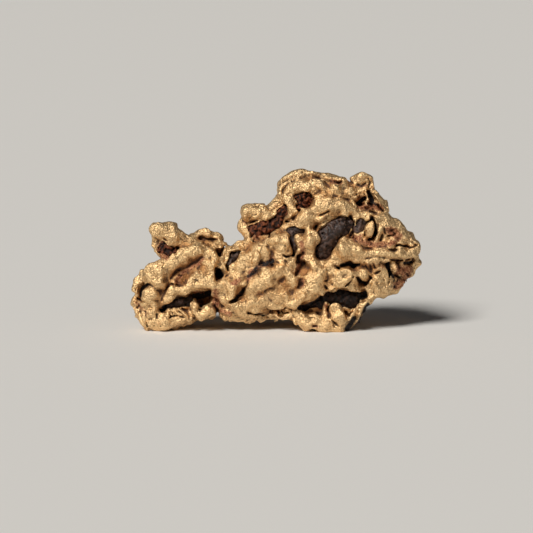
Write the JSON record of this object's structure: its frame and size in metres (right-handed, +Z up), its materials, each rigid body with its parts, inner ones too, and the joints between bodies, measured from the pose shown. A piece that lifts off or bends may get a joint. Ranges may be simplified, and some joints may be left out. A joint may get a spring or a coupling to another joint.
{
  "type": "gold nugget",
  "caption": "Natural gold nugget: a low folded arm and a tall crown, with dark ironstone grains held in its hollows.",
  "frame": {"origin": "on the floor under the middle of the nugget's bounding box", "axes": "+Z up from the surface it rests on; +X along the length, from the low arm to the tall crown; -Y is the face with the open hollows"},
  "size_m": [0.0456, 0.015, 0.0252],
  "materials": {
    "gold": "naturally worn native gold, satin, brown stain in the hollows",
    "ironstone": "dark, rough, with a dull sheen"
  },
  "bodies": {
    "root": {"gold_nugget": "gold", "ironstone_centre": "ironstone", "ironstone_crown": "ironstone", "ironstone_cup": "ironstone", "ironstone_east": "ironstone", "ironstone_finger": "ironstone", "ironstone_foot": "ironstone", "ironstone_notch": "ironstone", "ironstone_seam": "ironstone", "ironstone_slot": "ironstone"}
  },
  "joints": []
}
